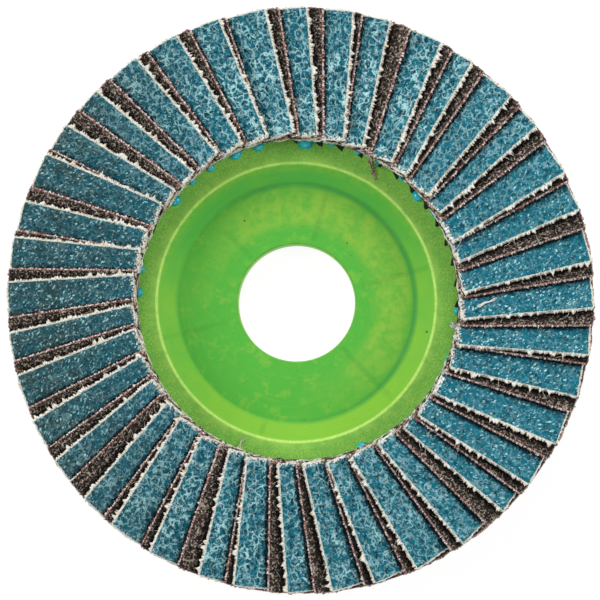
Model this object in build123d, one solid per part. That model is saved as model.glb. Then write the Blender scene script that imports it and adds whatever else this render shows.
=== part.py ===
"""Flap disc: a moulded backing plate with a fan of 80 abrasive flaps glued round it.

The disc stands on the back of its hub with the working face up. The origin is the
centre of the bore on the hub's back, and +Z is the way the working face looks. Clock
angles, in degrees, run clockwise from +Y as seen from the working face.
"""
import os
from math import asin, cos, degrees, radians, sin
from random import Random

from build123d import *

# ---- Backing plate, millimetres ----
BORE_DIAMETER = 22.23
BORE_CHAMFER = 0.33
HUB_THICKNESS = 5.0
HUB_BACK_RADIUS = 23.5
HUB_BACK_CHAMFER = 0.8
DISH_FLOOR_RADIUS = 22.6
DISH_SLOPE_RUN = 3.85  # how far the slope moves outward while it climbs
DISH_DEPTH = 3.7
DISH_RIM_ROUNDING = 0.6
FLANGE_THICKNESS = 3.0
FLANGE_RADIUS = 49.0
FLANGE_CHAMFER = 0.8

# ---- Ribs on the plate's back ----
RIB_COUNT = 6
RIB_FIRST_ANGLE = 15.0
RIB_THICKNESS = 2.0
RIB_REACH = 46.5  # radius at which a rib runs out into the flange
RIB_SETBACK = 1.0  # height of a rib's foot above the hub's back

# ---- Flaps ----
FLAP_PAIRS = 40  # a blue flap and the brown flap that it rests on
BLUE_THICKNESS = 1.15
BROWN_THICKNESS = 0.80
BLUE_WIDTH = 16.0  # up the slope of the flap, from the glued edge to the free edge
FLAP_INNER_END = 30.1  # from the fan's centre, along the flap
BLUE_OUTER_END = 55.1
BROWN_OUTER_END = 56.6
PLY_GAP = 0.04  # left between two flaps where they lie closest, at their inner ends
BLUE_EDGE_OFFSET = 5.8  # free edge, clockwise of the flap's own radius
BROWN_EDGE_OFFSET = 4.5
BROWN_SHARE = 0.48  # how far along the pitch the brown flap follows its blue flap
FAN_FIRST_ANGLE = -5.2
FAN_DRIFT = 0.8  # the flaps were laid a little wide on one side and close on the other
FAN_DRIFT_ANGLE = 40.0
FAN_OFFSET_X = 0.45
FAN_OFFSET_Y = 0.27

# The fan was ground round after gluing, not quite on the axis of the bore.
GROUND_RADIUS = 55.0
GROUND_OFFSET_X = 0.97
GROUND_OFFSET_Y = 0.21

# Each flap is laid by hand, so its free edge meets the rim up to this far to either side
# of its even place. The seed stands for one such fan and gives the same one every time.
BLUE_UNEVENNESS = 1.1
BROWN_UNEVENNESS = 0.9
LAY_SEED = 24
TURN_SHARE = 0.3  # part of an uneven lay that comes from the flap being turned

# ---- Adhesive ----
GLUE_UNDER_FLAPS = 0.25
GLUE_ROUND_EDGES = 0.6  # depth to which the flaps' edges sink into the bed
GLUE_INNER_RADIUS = 31.0
GLUE_OUTER_RADIUS = 48.0
BEAD_CENTRE_RADIUS = 30.6
BEAD_RADIUS = 1.6
BEAD_TOP_RADIUS = 0.8
BEAD_HEIGHT = 0.8
BEAD_ANGLES = (2.5, 38, 48, 93, 156.5, 281, 308, 335)

FLAPS_PER_BROWN_FILE = 4

# ---- Worked out from the values above ----
BORE_RADIUS = BORE_DIAMETER / 2
DISH_RIM_RADIUS = DISH_FLOOR_RADIUS + DISH_SLOPE_RUN
FLANGE_TOP = HUB_THICKNESS + DISH_DEPTH
FLANGE_BACK = FLANGE_TOP - FLANGE_THICKNESS
BACK_SLOPE = DISH_SLOPE_RUN / DISH_DEPTH  # the back of the slope runs beside its front

PAIR_PITCH = 360 / FLAP_PAIRS
CLOSEST_PITCH = PAIR_PITCH * (1 - radians(FAN_DRIFT))
FAN_CENTRE = Vector(FAN_OFFSET_X, FAN_OFFSET_Y, 0)
GROUND_CENTRE = Vector(GROUND_OFFSET_X, GROUND_OFFSET_Y, 0)


def chord(angle):
    """Distance between the inner ends of two flaps whose radii are an angle apart."""
    return 2 * FLAP_INNER_END * sin(radians(angle) / 2)


# A blue and a brown flap fill the room that one pitch leaves at the flaps' inner
# ends, and that sets how steeply all flaps lie.
PAIR_THICKNESS = BLUE_THICKNESS + BROWN_THICKNESS + 2 * PLY_GAP
FLAP_TILT = asin(PAIR_THICKNESS / chord(CLOSEST_PITCH))

GLUED_EDGE_HEIGHT = FLANGE_TOP + GLUE_UNDER_FLAPS
BLUE_EDGE_HEIGHT = GLUED_EDGE_HEIGHT + BLUE_THICKNESS * cos(FLAP_TILT) + BLUE_WIDTH * sin(FLAP_TILT)

# The brown flap's free edge is as high as the blue flap that rests on it allows.
BROWN_LEAD = chord(BROWN_SHARE * CLOSEST_PITCH) + BROWN_EDGE_OFFSET - BLUE_EDGE_OFFSET
BROWN_EDGE_DROP = (BLUE_THICKNESS + PLY_GAP - BROWN_LEAD * sin(FLAP_TILT)) / cos(FLAP_TILT)
BROWN_EDGE_HEIGHT = BLUE_EDGE_HEIGHT - BROWN_EDGE_DROP
BROWN_WIDTH = (BROWN_EDGE_HEIGHT - GLUED_EDGE_HEIGHT - BROWN_THICKNESS * cos(FLAP_TILT)) / sin(FLAP_TILT)


def uneven_lays(draw, unevenness):
    """How far clockwise of its even place each flap's free edge is at the rim."""
    return [draw.uniform(-unevenness, unevenness) for _ in range(FLAP_PAIRS)]


LAY_DRAW = Random(LAY_SEED)
BLUE_LAYS = uneven_lays(LAY_DRAW, BLUE_UNEVENNESS)
BROWN_LAYS = uneven_lays(LAY_DRAW, BROWN_UNEVENNESS)


def clock(angle):
    """Unit vector towards a clock angle."""
    return Vector(sin(radians(angle)), cos(radians(angle)), 0)


def plate_section():
    """Half section of the plate, drawn in the XZ plane from the bore outward."""
    back_slope_top = HUB_BACK_RADIUS + FLANGE_BACK * BACK_SLOPE
    corners = {
        (BORE_RADIUS, 0): 0,
        (HUB_BACK_RADIUS - HUB_BACK_CHAMFER, 0): 0,
        (HUB_BACK_RADIUS + HUB_BACK_CHAMFER * BACK_SLOPE, HUB_BACK_CHAMFER): 0,
        (back_slope_top, FLANGE_BACK): 0,
        (FLANGE_RADIUS - FLANGE_CHAMFER, FLANGE_BACK): 0,
        (FLANGE_RADIUS, FLANGE_BACK + FLANGE_CHAMFER): 0,
        (FLANGE_RADIUS, FLANGE_TOP): 0,
        (DISH_RIM_RADIUS, FLANGE_TOP): DISH_RIM_ROUNDING,
        (DISH_FLOOR_RADIUS, HUB_THICKNESS): 0,
        (BORE_RADIUS + BORE_CHAMFER, HUB_THICKNESS): 0,
        (BORE_RADIUS, HUB_THICKNESS - BORE_CHAMFER): 0,
    }
    outline = FilletPolyline(*corners, radius=corners.values(), close=True)
    return Plane.XZ * make_face(outline)


def rib(angle):
    """One rib, from the hub's back out along the flange, rooted inside both."""
    foot_radius = HUB_BACK_RADIUS + RIB_SETBACK * BACK_SLOPE
    top_radius = HUB_BACK_RADIUS + FLANGE_BACK * BACK_SLOPE
    root_depth = FLANGE_THICKNESS / 2
    outline = Polyline(
        (foot_radius, RIB_SETBACK),
        (RIB_REACH, FLANGE_BACK),
        (RIB_REACH, FLANGE_BACK + root_depth),
        (top_radius, FLANGE_BACK + root_depth),
        (foot_radius - root_depth, RIB_SETBACK),
        close=True,
    )
    web = extrude(Plane.XZ * make_face(outline), RIB_THICKNESS / 2, both=True)
    return Rot(Z=90 - angle) * web


def backing_plate():
    """The moulding: bored hub, dish, flange and the ribs behind them."""
    plate = revolve(plate_section(), Axis.Z)
    for number in range(RIB_COUNT):
        plate += rib(RIB_FIRST_ANGLE + number * 360 / RIB_COUNT)
    return plate


def heading(place):
    """Clock angle of the radius that a flap is laid along, by its place in the fan."""
    even = place * PAIR_PITCH + FAN_FIRST_ANGLE
    return even + FAN_DRIFT * (1 - cos(radians(even - FAN_DRIFT_ANGLE)))


def flap(place, lay, edge_offset, edge_height, width, thickness, outer_end):
    """One flap, laid uphill clockwise over the next and ground round at its outer end.

    Its uneven lay at the rim is shared between a turn about its inner end and a free
    edge that stands further out, so that it never leaves the plane it rests in.
    """
    even_heading = heading(place)
    turn = degrees(asin(TURN_SHARE * lay / (GROUND_RADIUS - FLAP_INNER_END)))
    stand_out = (1 - TURN_SHARE) * lay / cos(FLAP_TILT)

    along = clock(even_heading + turn)
    across = clock(even_heading + turn + 90)
    inner_end = FAN_CENTRE + clock(even_heading) * FLAP_INNER_END
    upward = Vector(0, 0, cos(FLAP_TILT)) - across * sin(FLAP_TILT)
    origin = inner_end + across * edge_offset + Vector(0, 0, edge_height)
    face_plane = Plane(origin, x_dir=along, z_dir=upward)

    # In the plane of its face the flap runs along X, and Y is downhill.
    cloth = Rectangle(
        outer_end - FLAP_INNER_END,
        width + stand_out,
        align=(Align.MIN, Align.MIN),
    )
    slab = extrude(face_plane * Pos(0, -stand_out) * cloth, -thickness)
    grinding = Pos(GROUND_CENTRE) * Cylinder(
        GROUND_RADIUS,
        2 * edge_height,
        align=(Align.CENTER, Align.CENTER, Align.MIN),
    )
    return slab & grinding


def blue_flap(number):
    """The blue flap with this number, counted clockwise from the top."""
    return flap(
        number,
        BLUE_LAYS[number],
        BLUE_EDGE_OFFSET,
        BLUE_EDGE_HEIGHT,
        BLUE_WIDTH,
        BLUE_THICKNESS,
        BLUE_OUTER_END,
    )


def brown_flap(number):
    """The brown flap that the blue flap with the same number rests on."""
    return flap(
        number + BROWN_SHARE,
        BROWN_LAYS[number],
        BROWN_EDGE_OFFSET,
        BROWN_EDGE_HEIGHT,
        BROWN_WIDTH,
        BROWN_THICKNESS,
        BROWN_OUTER_END,
    )


def glue_bead(angle):
    """A low bead of adhesive that was squeezed out under the flaps' inner ends."""
    place = FAN_CENTRE + clock(angle) * BEAD_CENTRE_RADIUS
    bead = Cone(
        BEAD_RADIUS,
        BEAD_TOP_RADIUS,
        BEAD_HEIGHT,
        align=(Align.CENTER, Align.CENTER, Align.MIN),
    )
    return Pos(place.X, place.Y, FLANGE_TOP) * bead


def adhesive_bed(flaps):
    """The glued ring on the flange, with the notches that the flaps' edges fill."""
    depth = GLUE_UNDER_FLAPS + GLUE_ROUND_EDGES
    ring = Circle(GLUE_OUTER_RADIUS) - Circle(GLUE_INNER_RADIUS)
    bed = extrude(Pos(FAN_CENTRE.X, FAN_CENTRE.Y, FLANGE_TOP) * ring, depth)
    bed += [glue_bead(angle) for angle in BEAD_ANGLES]
    return bed - flaps


def main():
    os.makedirs("parts", exist_ok=True)
    blue_flaps = [blue_flap(number) for number in range(FLAP_PAIRS)]
    brown_flaps = [brown_flap(number) for number in range(FLAP_PAIRS)]

    pieces = {
        "backing_plate": backing_plate(),
        "adhesive_bed": adhesive_bed(blue_flaps + brown_flaps),
    }
    for number, piece in enumerate(blue_flaps, start=1):
        pieces[f"blue_flap_{number:02d}"] = piece
    for first in range(0, len(brown_flaps), FLAPS_PER_BROWN_FILE):
        last = first + FLAPS_PER_BROWN_FILE
        name = f"brown_flaps_{first + 1:02d}_to_{last:02d}"
        pieces[name] = Compound(children=brown_flaps[first:last])

    for name, piece in pieces.items():
        export_step(piece, f"parts/{name}.step")
    print(f"flap tilt {degrees(FLAP_TILT):.2f} degrees, brown width {BROWN_WIDTH:.2f} mm")


main()
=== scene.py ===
# %% [markdown]
# # Dressing a flap disc
#
# A flap disc is a grinding tool: strips of abrasive cloth, called flaps, are glued in a
# ring on a moulded plate, each one resting on the next like a roof shingle. The CAD
# model holds its true shapes: the plate, the glue and eighty flat flaps. This lesson
# turns those flat flaps into cut cloth with grain on its face and yarn ends along its
# edges, and gives the plate and the glue the finish of real plastic and epoxy.
#
# The CAD model is loaded as a fixed frame. Nothing in it is moved. A piece either keeps
# its CAD shape and gets a material, or is replaced by a mesh that lies in its place.

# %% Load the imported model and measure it
from math import atan2, cos, pi, radians, sin, sqrt

import bmesh
import bpy
import numpy as np
from mathutils import Matrix, Vector


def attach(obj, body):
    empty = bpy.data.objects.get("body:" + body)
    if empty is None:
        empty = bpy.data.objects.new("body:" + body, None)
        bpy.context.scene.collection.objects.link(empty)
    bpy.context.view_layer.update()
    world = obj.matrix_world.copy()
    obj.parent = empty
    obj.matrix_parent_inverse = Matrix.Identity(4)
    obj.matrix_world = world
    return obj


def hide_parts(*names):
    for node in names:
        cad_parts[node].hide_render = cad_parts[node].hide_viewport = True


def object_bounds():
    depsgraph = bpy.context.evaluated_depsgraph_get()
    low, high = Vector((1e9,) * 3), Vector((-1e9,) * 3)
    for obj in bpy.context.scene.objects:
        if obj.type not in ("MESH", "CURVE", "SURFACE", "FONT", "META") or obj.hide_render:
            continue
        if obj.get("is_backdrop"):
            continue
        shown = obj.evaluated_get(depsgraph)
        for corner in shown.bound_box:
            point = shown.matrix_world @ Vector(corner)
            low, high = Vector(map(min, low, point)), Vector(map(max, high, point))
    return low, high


MM = 0.001  # one millimetre in Blender's metres

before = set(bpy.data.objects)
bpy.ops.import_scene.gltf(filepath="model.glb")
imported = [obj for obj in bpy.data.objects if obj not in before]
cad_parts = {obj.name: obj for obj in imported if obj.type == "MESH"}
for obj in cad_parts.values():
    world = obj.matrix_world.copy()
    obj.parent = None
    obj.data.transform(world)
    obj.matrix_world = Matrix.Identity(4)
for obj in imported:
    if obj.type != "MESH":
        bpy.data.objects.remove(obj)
cad_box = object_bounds()
box_low, box_high = (np.array(corner) / MM for corner in cad_box)
ground_centre = (box_low[:2] + box_high[:2]) / 2
ground_radius = (box_high[0] - box_low[0]) / 2
print("disc size in mm:", (box_high - box_low).round(2))
print("ground rim: centre", ground_centre.round(2), "radius", ground_radius.round(2))

# %% [markdown]
# ## Seeing it
#
# The disc is looked at from almost straight above, from a long way off, so that its
# circles stay round. A camera's own axes are right, up and back. With the view's up kept
# along +Y, those three follow from the line of sight by two cross products, and
# they become the columns of the camera's rotation.

# %% The camera
def add_object(name, data):
    """Puts new data into the scene as an object."""
    made = bpy.data.objects.new(name, data)
    bpy.context.scene.collection.objects.link(made)
    return made


CAMERA_PLACE = Vector((15.36, -27.73, 700.0)) * MM
CAMERA_TARGET = Vector((0.656, 0.572, 5.0)) * MM
VIEW_WIDTH = 114.09 * MM  # of the plane through the target

sight = CAMERA_TARGET - CAMERA_PLACE
right = sight.cross(Vector((0, 1, 0))).normalized()
up = right.cross(sight).normalized()
camera_data = bpy.data.cameras.new("camera")
camera_data.lens = camera_data.sensor_width * sight.length / VIEW_WIDTH
camera_data.clip_end = 10
camera = add_object("camera", camera_data)
camera.matrix_world = Matrix.Translation(CAMERA_PLACE) @ Matrix(
    (right, up, -sight.normalized())
).transposed().to_4x4()
bpy.context.scene.camera = camera
bpy.context.scene.view_settings.view_transform = "Standard"
print("lens in mm:", round(camera_data.lens, 1))

# %% [markdown]
# ## Wiring nodes by value
#
# Every finish here is procedural: its colour and grain come from nodes. A node tree
# made in code gets long, because each node needs a line to make it and a line for each
# wire. The helper below takes numbers or wires alike. It also works in a tree of
# geometry nodes, which understand the same noise textures. That matters later, when one
# pattern both raises the grain and colours it.

# %% A helper that makes nodes and wires them
class Wiring:
    """Makes nodes in one tree. Inputs may be numbers, colours or other nodes' outputs."""

    def __init__(self, tree):
        self.tree = tree
        tree.nodes.clear()

    def node(self, kind, inputs=None, **settings):
        made = self.tree.nodes.new(kind)
        for name, value in settings.items():
            setattr(made, name, value)
        for name, value in (inputs or {}).items():
            self.feed(made.inputs[name], value)
        return made

    def feed(self, socket, value):
        if isinstance(value, bpy.types.NodeSocket):
            self.tree.links.new(value, socket)
        elif socket.type == "RGBA" and len(value) == 3:
            socket.default_value = (*value, 1.0)
        else:
            socket.default_value = value

    def math(self, operation, first, second=0.0, clamp=False):
        made = self.node("ShaderNodeMath", {0: first, 1: second}, operation=operation)
        made.use_clamp = clamp
        return made.outputs[0]

    def times(self, *values):
        """The product of several values."""
        product = values[0]
        for value in values[1:]:
            product = self.math("MULTIPLY", product, value)
        return product

    def vector(self, operation, first, second=(0, 0, 0)):
        inputs = {0: first, 1: second}
        return self.node("ShaderNodeVectorMath", inputs, operation=operation).outputs[0]

    def scaled(self, vector, scale):
        made = self.node("ShaderNodeVectorMath", {0: vector}, operation="SCALE")
        self.feed(made.inputs["Scale"], scale)
        return made.outputs[0]

    def split(self, vector):
        return self.node("ShaderNodeSeparateXYZ", {0: vector}).outputs

    def joined(self, x, y, z):
        return self.node("ShaderNodeCombineXYZ", {0: x, 1: y, 2: z}).outputs[0]

    def model_place(self):
        """Where a point of the surface lies in the model, in millimetres."""
        return self.scaled(self.node("ShaderNodeTexCoord").outputs["Object"], 1 / MM)

    def ramp(self, value, start, end, low=0.0, high=1.0):
        """Runs smoothly from low to high while value goes from start to end."""
        inputs = {"Value": value, 1: start, 2: end, 3: low, 4: high}
        made = self.node("ShaderNodeMapRange", inputs, interpolation_type="SMOOTHSTEP")
        return made.outputs[0]

    def noise(self, place, scale, detail=2.0, roughness=0.5):
        inputs = {"Vector": place, "Scale": scale}
        inputs |= {"Detail": detail, "Roughness": roughness}
        return self.node("ShaderNodeTexNoise", inputs).outputs

    def cells(self, place, scale, feature="F1"):
        inputs = {"Vector": place, "Scale": scale}
        return self.node("ShaderNodeTexVoronoi", inputs, feature=feature).outputs

    def blend(self, share, first, second):
        """Goes from one number to another as the share goes from 0 to 1."""
        return self.node("ShaderNodeMix", {0: share, 2: first, 3: second}).outputs[0]

    def mix(self, share, first, second):
        """Goes from one colour to another as the share goes from 0 to 1."""
        made = self.node("ShaderNodeMix", data_type="RGBA")
        for number, value in zip((0, 6, 7), (share, first, second)):
            self.feed(made.inputs[number], value)
        return made.outputs[2]


def new_material(name):
    """A new material, and the wiring of its empty node tree."""
    material = bpy.data.materials.new(name)
    material.use_nodes = True
    return material, Wiring(material.node_tree)


def finish_surface(make, colour, height, depth, roughness, **constants):
    """Ends a material: a bumped, principled surface. Depth is in metres."""
    bump = make.node("ShaderNodeBump", {"Height": height, "Distance": depth})
    inputs = {"Base Color": colour, "Roughness": roughness, "Normal": bump.outputs[0]}
    surface = make.node("ShaderNodeBsdfPrincipled", inputs)
    for name, value in constants.items():
        surface.inputs[name.replace("_", " ")].default_value = value
    make.node("ShaderNodeOutputMaterial", {"Surface": surface.outputs[0]})


# %% [markdown]
# ## Light and ground
#
# Four wide soft lamps stand round the disc, the weakest of them on the -Y side, and a
# pale sky fills the rest. Their sum is set so that a flat surface reflects about the
# colour it is given. The ground should look plain white to the camera and still hold the
# disc's shadow, so part of its white is its own glow, seen only by the camera and in
# reflections, and part is reflected light that the shadow can take away.

# %% The lamps
LAMP_ELEVATION = 38
LAMP_DISTANCE = 0.9
LAMP_WIDTH = 0.36
# By clock angle from +Y: the share that each lamp gives of the light on flat ground
LAMP_SHARES = {-80: 0.28, 2: 0.23, 82: 0.23, 180: 0.09}
SKY_SHARE = 0.22

rise = radians(LAMP_ELEVATION)
for clock_angle, share in LAMP_SHARES.items():
    turn = radians(clock_angle)
    toward = Vector((sin(turn) * cos(rise), cos(turn) * cos(rise), sin(rise)))
    lamp_data = bpy.data.lights.new(f"soft_lamp_{clock_angle}", "AREA")
    lamp_data.size = LAMP_WIDTH
    lamp_data.energy = share * (pi * LAMP_DISTANCE) ** 2 / sin(rise)
    lamp = add_object(lamp_data.name, lamp_data)
    lamp.location = toward * LAMP_DISTANCE
    lamp.rotation_euler = (-toward).to_track_quat("-Z", "Y").to_euler()
    print(lamp.name, "watts:", round(lamp_data.energy, 2))


# %% The sky and the ground
def seen_directly(make):
    """1 for rays from the camera, and for those that a mirror or glass passes on."""
    path = make.node("ShaderNodeLightPath").outputs
    seen = make.math("ADD", path["Is Camera Ray"], path["Is Glossy Ray"])
    return make.math("ADD", seen, path["Is Transmission Ray"], clamp=True)


world = bpy.data.worlds.new("sky")
world.use_nodes = True
bpy.context.scene.world = world
make = Wiring(world.node_tree)
strength = make.ramp(seen_directly(make), 0, 1, SKY_SHARE, 1.0)
sky = make.node("ShaderNodeBackground", {"Color": (1, 1, 1), "Strength": strength})
make.node("ShaderNodeOutputWorld", {"Surface": sky.outputs[0]})

GROUND_HALF_WIDTH = 3.0
GROUND_GLOW = 0.88
GROUND_REFLECTION = 0.22

ground_material, make = new_material("white_ground")
plain = make.node("ShaderNodeBsdfDiffuse", {"Color": (0.8, 0.8, 0.8)})
pale = make.node("ShaderNodeBsdfDiffuse", {"Color": (GROUND_REFLECTION,) * 3})
glow = make.node("ShaderNodeEmission", {"Color": (1, 1, 1), "Strength": GROUND_GLOW})
bright = make.node("ShaderNodeAddShader", {0: pale.outputs[0], 1: glow.outputs[0]})
inputs = {0: seen_directly(make), 1: plain.outputs[0], 2: bright.outputs[0]}
ground_mix = make.node("ShaderNodeMixShader", inputs)
make.node("ShaderNodeOutputMaterial", {"Surface": ground_mix.outputs[0]})

ground_mesh = bpy.data.meshes.new("ground")
corners = [(x, y, 0) for x, y in ((-1, -1), (1, -1), (1, 1), (-1, 1))]
ground_mesh.from_pydata(
    [Vector(corner) * GROUND_HALF_WIDTH for corner in corners], [], [(0, 1, 2, 3)]
)
ground_mesh.materials.append(ground_material)
ground = add_object("ground", ground_mesh)
ground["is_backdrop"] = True
print("sky share", SKY_SHARE, "lamp shares", sum(LAMP_SHARES.values()))

# %% [markdown]
# ## Where each flap lies
#
# Each flap is a flat slab in the CAD model, laid at its own angle. Its replacement has
# to lie exactly there, so the slab is read back from its mesh. The face that looks up
# gives the slab's upward direction, and the cut face along the free edge gives the
# direction that climbs the shingle. Those two are enough to set up axes on the slab:
# x runs outward along the flap, y downhill from the free edge, and z out of its face.

# %% Split a node into its solids
def solids(node):
    """The solids of a node's mesh, each as corner points and triangles."""
    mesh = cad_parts[node].data
    mesh.calc_loop_triangles()
    points = np.array([vertex.co for vertex in mesh.vertices]) / MM
    triangles = np.array([tuple(t.vertices) for t in mesh.loop_triangles])
    points, same = np.unique(points.round(4), axis=0, return_inverse=True)
    triangles = same.reshape(-1)[triangles]
    group = np.arange(len(points))
    while True:  # each corner takes the lowest number among its triangles' corners
        spread = group.copy()
        for corner in range(3):
            lowest = group[triangles].min(axis=1)
            np.minimum.at(spread, triangles[:, corner], lowest)
        if (spread == group).all():
            break
        group = spread
    owner = group[triangles[:, 0]]
    return [(points, triangles[owner == number]) for number in np.unique(owner)]


# %% Read the lay of one slab
def points_at(x, y, z):
    """Points from their coordinates, any of which may be one number for all."""
    return np.stack(np.broadcast_arrays(x, y, z), axis=-1)


class Slab:
    """The place of one flap: its axes, its size and how far out it was ground."""

    def __init__(self, points, triangles):
        a, b, c = (points[triangles[:, corner]] for corner in range(3))
        normal = np.cross(b - a, c - a)
        level = normal[:, 2] / np.linalg.norm(normal, axis=1)
        face = normal[level > 0.8].sum(axis=0)
        edge = normal[(level > 0.3) & (level < 0.6)].sum(axis=0)
        self.up = face / np.linalg.norm(face)
        self.downhill = -edge / np.linalg.norm(edge)
        self.outward = np.cross(self.downhill, self.up)
        self.axes = np.array([self.outward, self.downhill, self.up])
        own = points[np.unique(triangles)] @ self.axes.T
        lowest, highest = own.min(axis=0), own.max(axis=0)
        self.origin = np.array([lowest[0], lowest[1], highest[2]]) @ self.axes
        self.length, self.width, self.thickness = highest - lowest

    def place(self, points):
        """Turns points on the slab's own axes into points of the model."""
        return self.origin + points @ self.axes

    def clock_angle(self):
        return atan2(self.outward[0], self.outward[1])

    def beyond_edge(self, points):
        """How far points of the model lie past this flap's free edge, seen from above."""
        past = -self.downhill[:2] / np.linalg.norm(self.downhill[:2])
        return (points - self.origin)[..., :2] @ past

    def outer_end(self, y, z):
        """How far out the flap reaches: to its own end, or to the ground rim."""
        start = self.place(points_at(0.0, y, z))[..., :2] - ground_centre
        along = start @ self.outward[:2]
        beyond = (start**2).sum(axis=-1) - ground_radius**2
        return np.minimum(self.length, -along + np.sqrt(along**2 - beyond))


blue_nodes = sorted(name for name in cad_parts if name.startswith("blue_flap"))
brown_nodes = sorted(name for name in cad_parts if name.startswith("brown_flap"))
slabs = {
    node: [Slab(*solid) for solid in solids(node)] for node in blue_nodes + brown_nodes
}
fan = sorted((slab for found in slabs.values() for slab in found), key=Slab.clock_angle)
for slab, before in zip(fan, [fan[-1], *fan[:-1]]):
    slab.cover = before  # each flap is covered by the one before it, going clockwise
sample = slabs[blue_nodes[0]][0]
print("flaps:", sum(len(found) for found in slabs.values()))
size = sample.length, sample.width, sample.thickness
print("first blue flap in mm:", *(round(float(side), 2) for side in size))

# %% [markdown]
# ## A flap of cut cloth
#
# Abrasive cloth is woven yarn with a hard coat of grain on one face. Where it has been
# cut the coat chips a little and the yarn ends stand out, each by its own amount, with
# a torn tuft here and there. That fringe gives the disc its pale ragged stripes, so it
# is modelled in the mesh. Sculpting eighty flaps by hand would be slow, and copying one
# flap would show, so a function grows each flap with its own random draws. The face is
# a fine grid only where it is seen. One many-sided polygon covers the part that the
# next flap hides, and a wall of six rows runs round the whole edge.

# %% What the two kinds of cloth look like, in millimetres
KINDS = {
    "blue": dict(
        columns=190,
        rows=26,
        chip=0.12,  # how far the coat's edge is chipped back
        rim_chip=0.3,  # and at the two ends
        inner_chip=0.1,
        short_by=0.7,  # how much shorter the flaps are where the rim was ground hardest
        set_back=0.45,  # how far the free corner may lie back at the inner end
        yarn_pitch=0.55,
        fringe=(0.0, 0.78, 1.3),  # least and most reach, and how rare the long ones are
        end_fringe=(-0.05, 0.3, 1.2),
        tufts=9,
        tuft_length=(0.25, 0.7),
        tuft_reach=(0.7, 1.3),
        fibres=3,
    ),
    "brown": dict(
        columns=190,
        rows=14,
        chip=0.1,
        rim_chip=0.2,
        inner_chip=0.1,
        short_by=0.0,
        set_back=0.3,
        yarn_pitch=0.45,
        fringe=(0.15, 0.62, 1.2),
        end_fringe=(-0.05, 0.3, 1.2),
        tufts=5,
        tuft_length=(0.2, 0.6),
        tuft_reach=(0.4, 0.65),
        fibres=1,
    ),
}
DEPTH_STEPS = np.array([0.0, 0.06, 0.16, 0.4, 0.7, 1.0])  # down through the cloth
DEPTH_REACH = np.array([0.0, 0.5, 0.9, 1.0, 0.75, 0.25])  # share of a yarn's reach
END_STEPS = 12  # along each end, in the hidden part
GROUND_HARDEST = radians(135)  # where the rim was ground hardest, clockwise from +Y


# %% [markdown]
# The rim of the disc is ground round after the flaps are set. The grinding takes more
# off the upper cloth on one side, so there the blue ends stop short of the brown ones
# below and a thin brown line runs round outside them. At the other end nothing trims
# the cloth. Each flap's free corner lies back by its own amount and the ends below show.


# %% Where a flap's two ends lie, against the ends of its slab
def shortfall(slab, kind, y):
    """Blue flaps on the side that was ground hardest stop short of the rim."""
    facing = np.clip(cos(slab.clock_angle() - GROUND_HARDEST) + 0.2, 0, 1)
    own = 0.55 + 0.45 * sin(slab.clock_angle() * 37)
    return kind["short_by"] * facing * own * (0.2 + 0.8 * np.clip(y / 6, 0, 1))


def inner_end(slab, kind, y):
    """How far the inner end lies back, most at the free corner."""
    own = 0.5 + 0.5 * sin(slab.clock_angle() * 53 + 1)
    return kind["set_back"] * own**1.5 * np.clip(1 - y / 7, 0, 1)


def coat_ends(slab, kind, y):
    """Where the coat begins and stops along the flap, with its chipped ends."""
    first = inner_end(slab, kind, y) + kind["inner_chip"]
    last = slab.outer_end(y, 0.0) - shortfall(slab, kind, y) - kind["rim_chip"]
    return first, last


# %% Yarn ends and torn tufts
def yarn_reach(rng, where, pitch, least, most, rarity):
    """How far the yarn ends stand out at each of the places along an edge."""
    yarn = where / pitch + rng.random()
    number = np.floor(yarn).astype(int)
    reach = least + (most - least) * rng.random(number.max() + 2) ** rarity
    hump = np.sin(pi * (yarn - number)) ** 0.8
    return least + (reach[number] - least) * hump


def tuft_reach(rng, where, kind):
    """How far the few torn tufts stand out at each of the places along an edge."""
    total = np.zeros_like(where)
    for _ in range(rng.poisson(kind["tufts"])):
        centre = rng.uniform(where.min(), where.max())
        half = rng.uniform(*kind["tuft_length"])
        reach = rng.uniform(*kind["tuft_reach"])
        hump = np.clip(1 - ((where - centre) / half) ** 2, 0, 1)
        total = np.maximum(total, reach * hump * rng.uniform(0.6, 1.0, len(where)))
    return total


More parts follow.
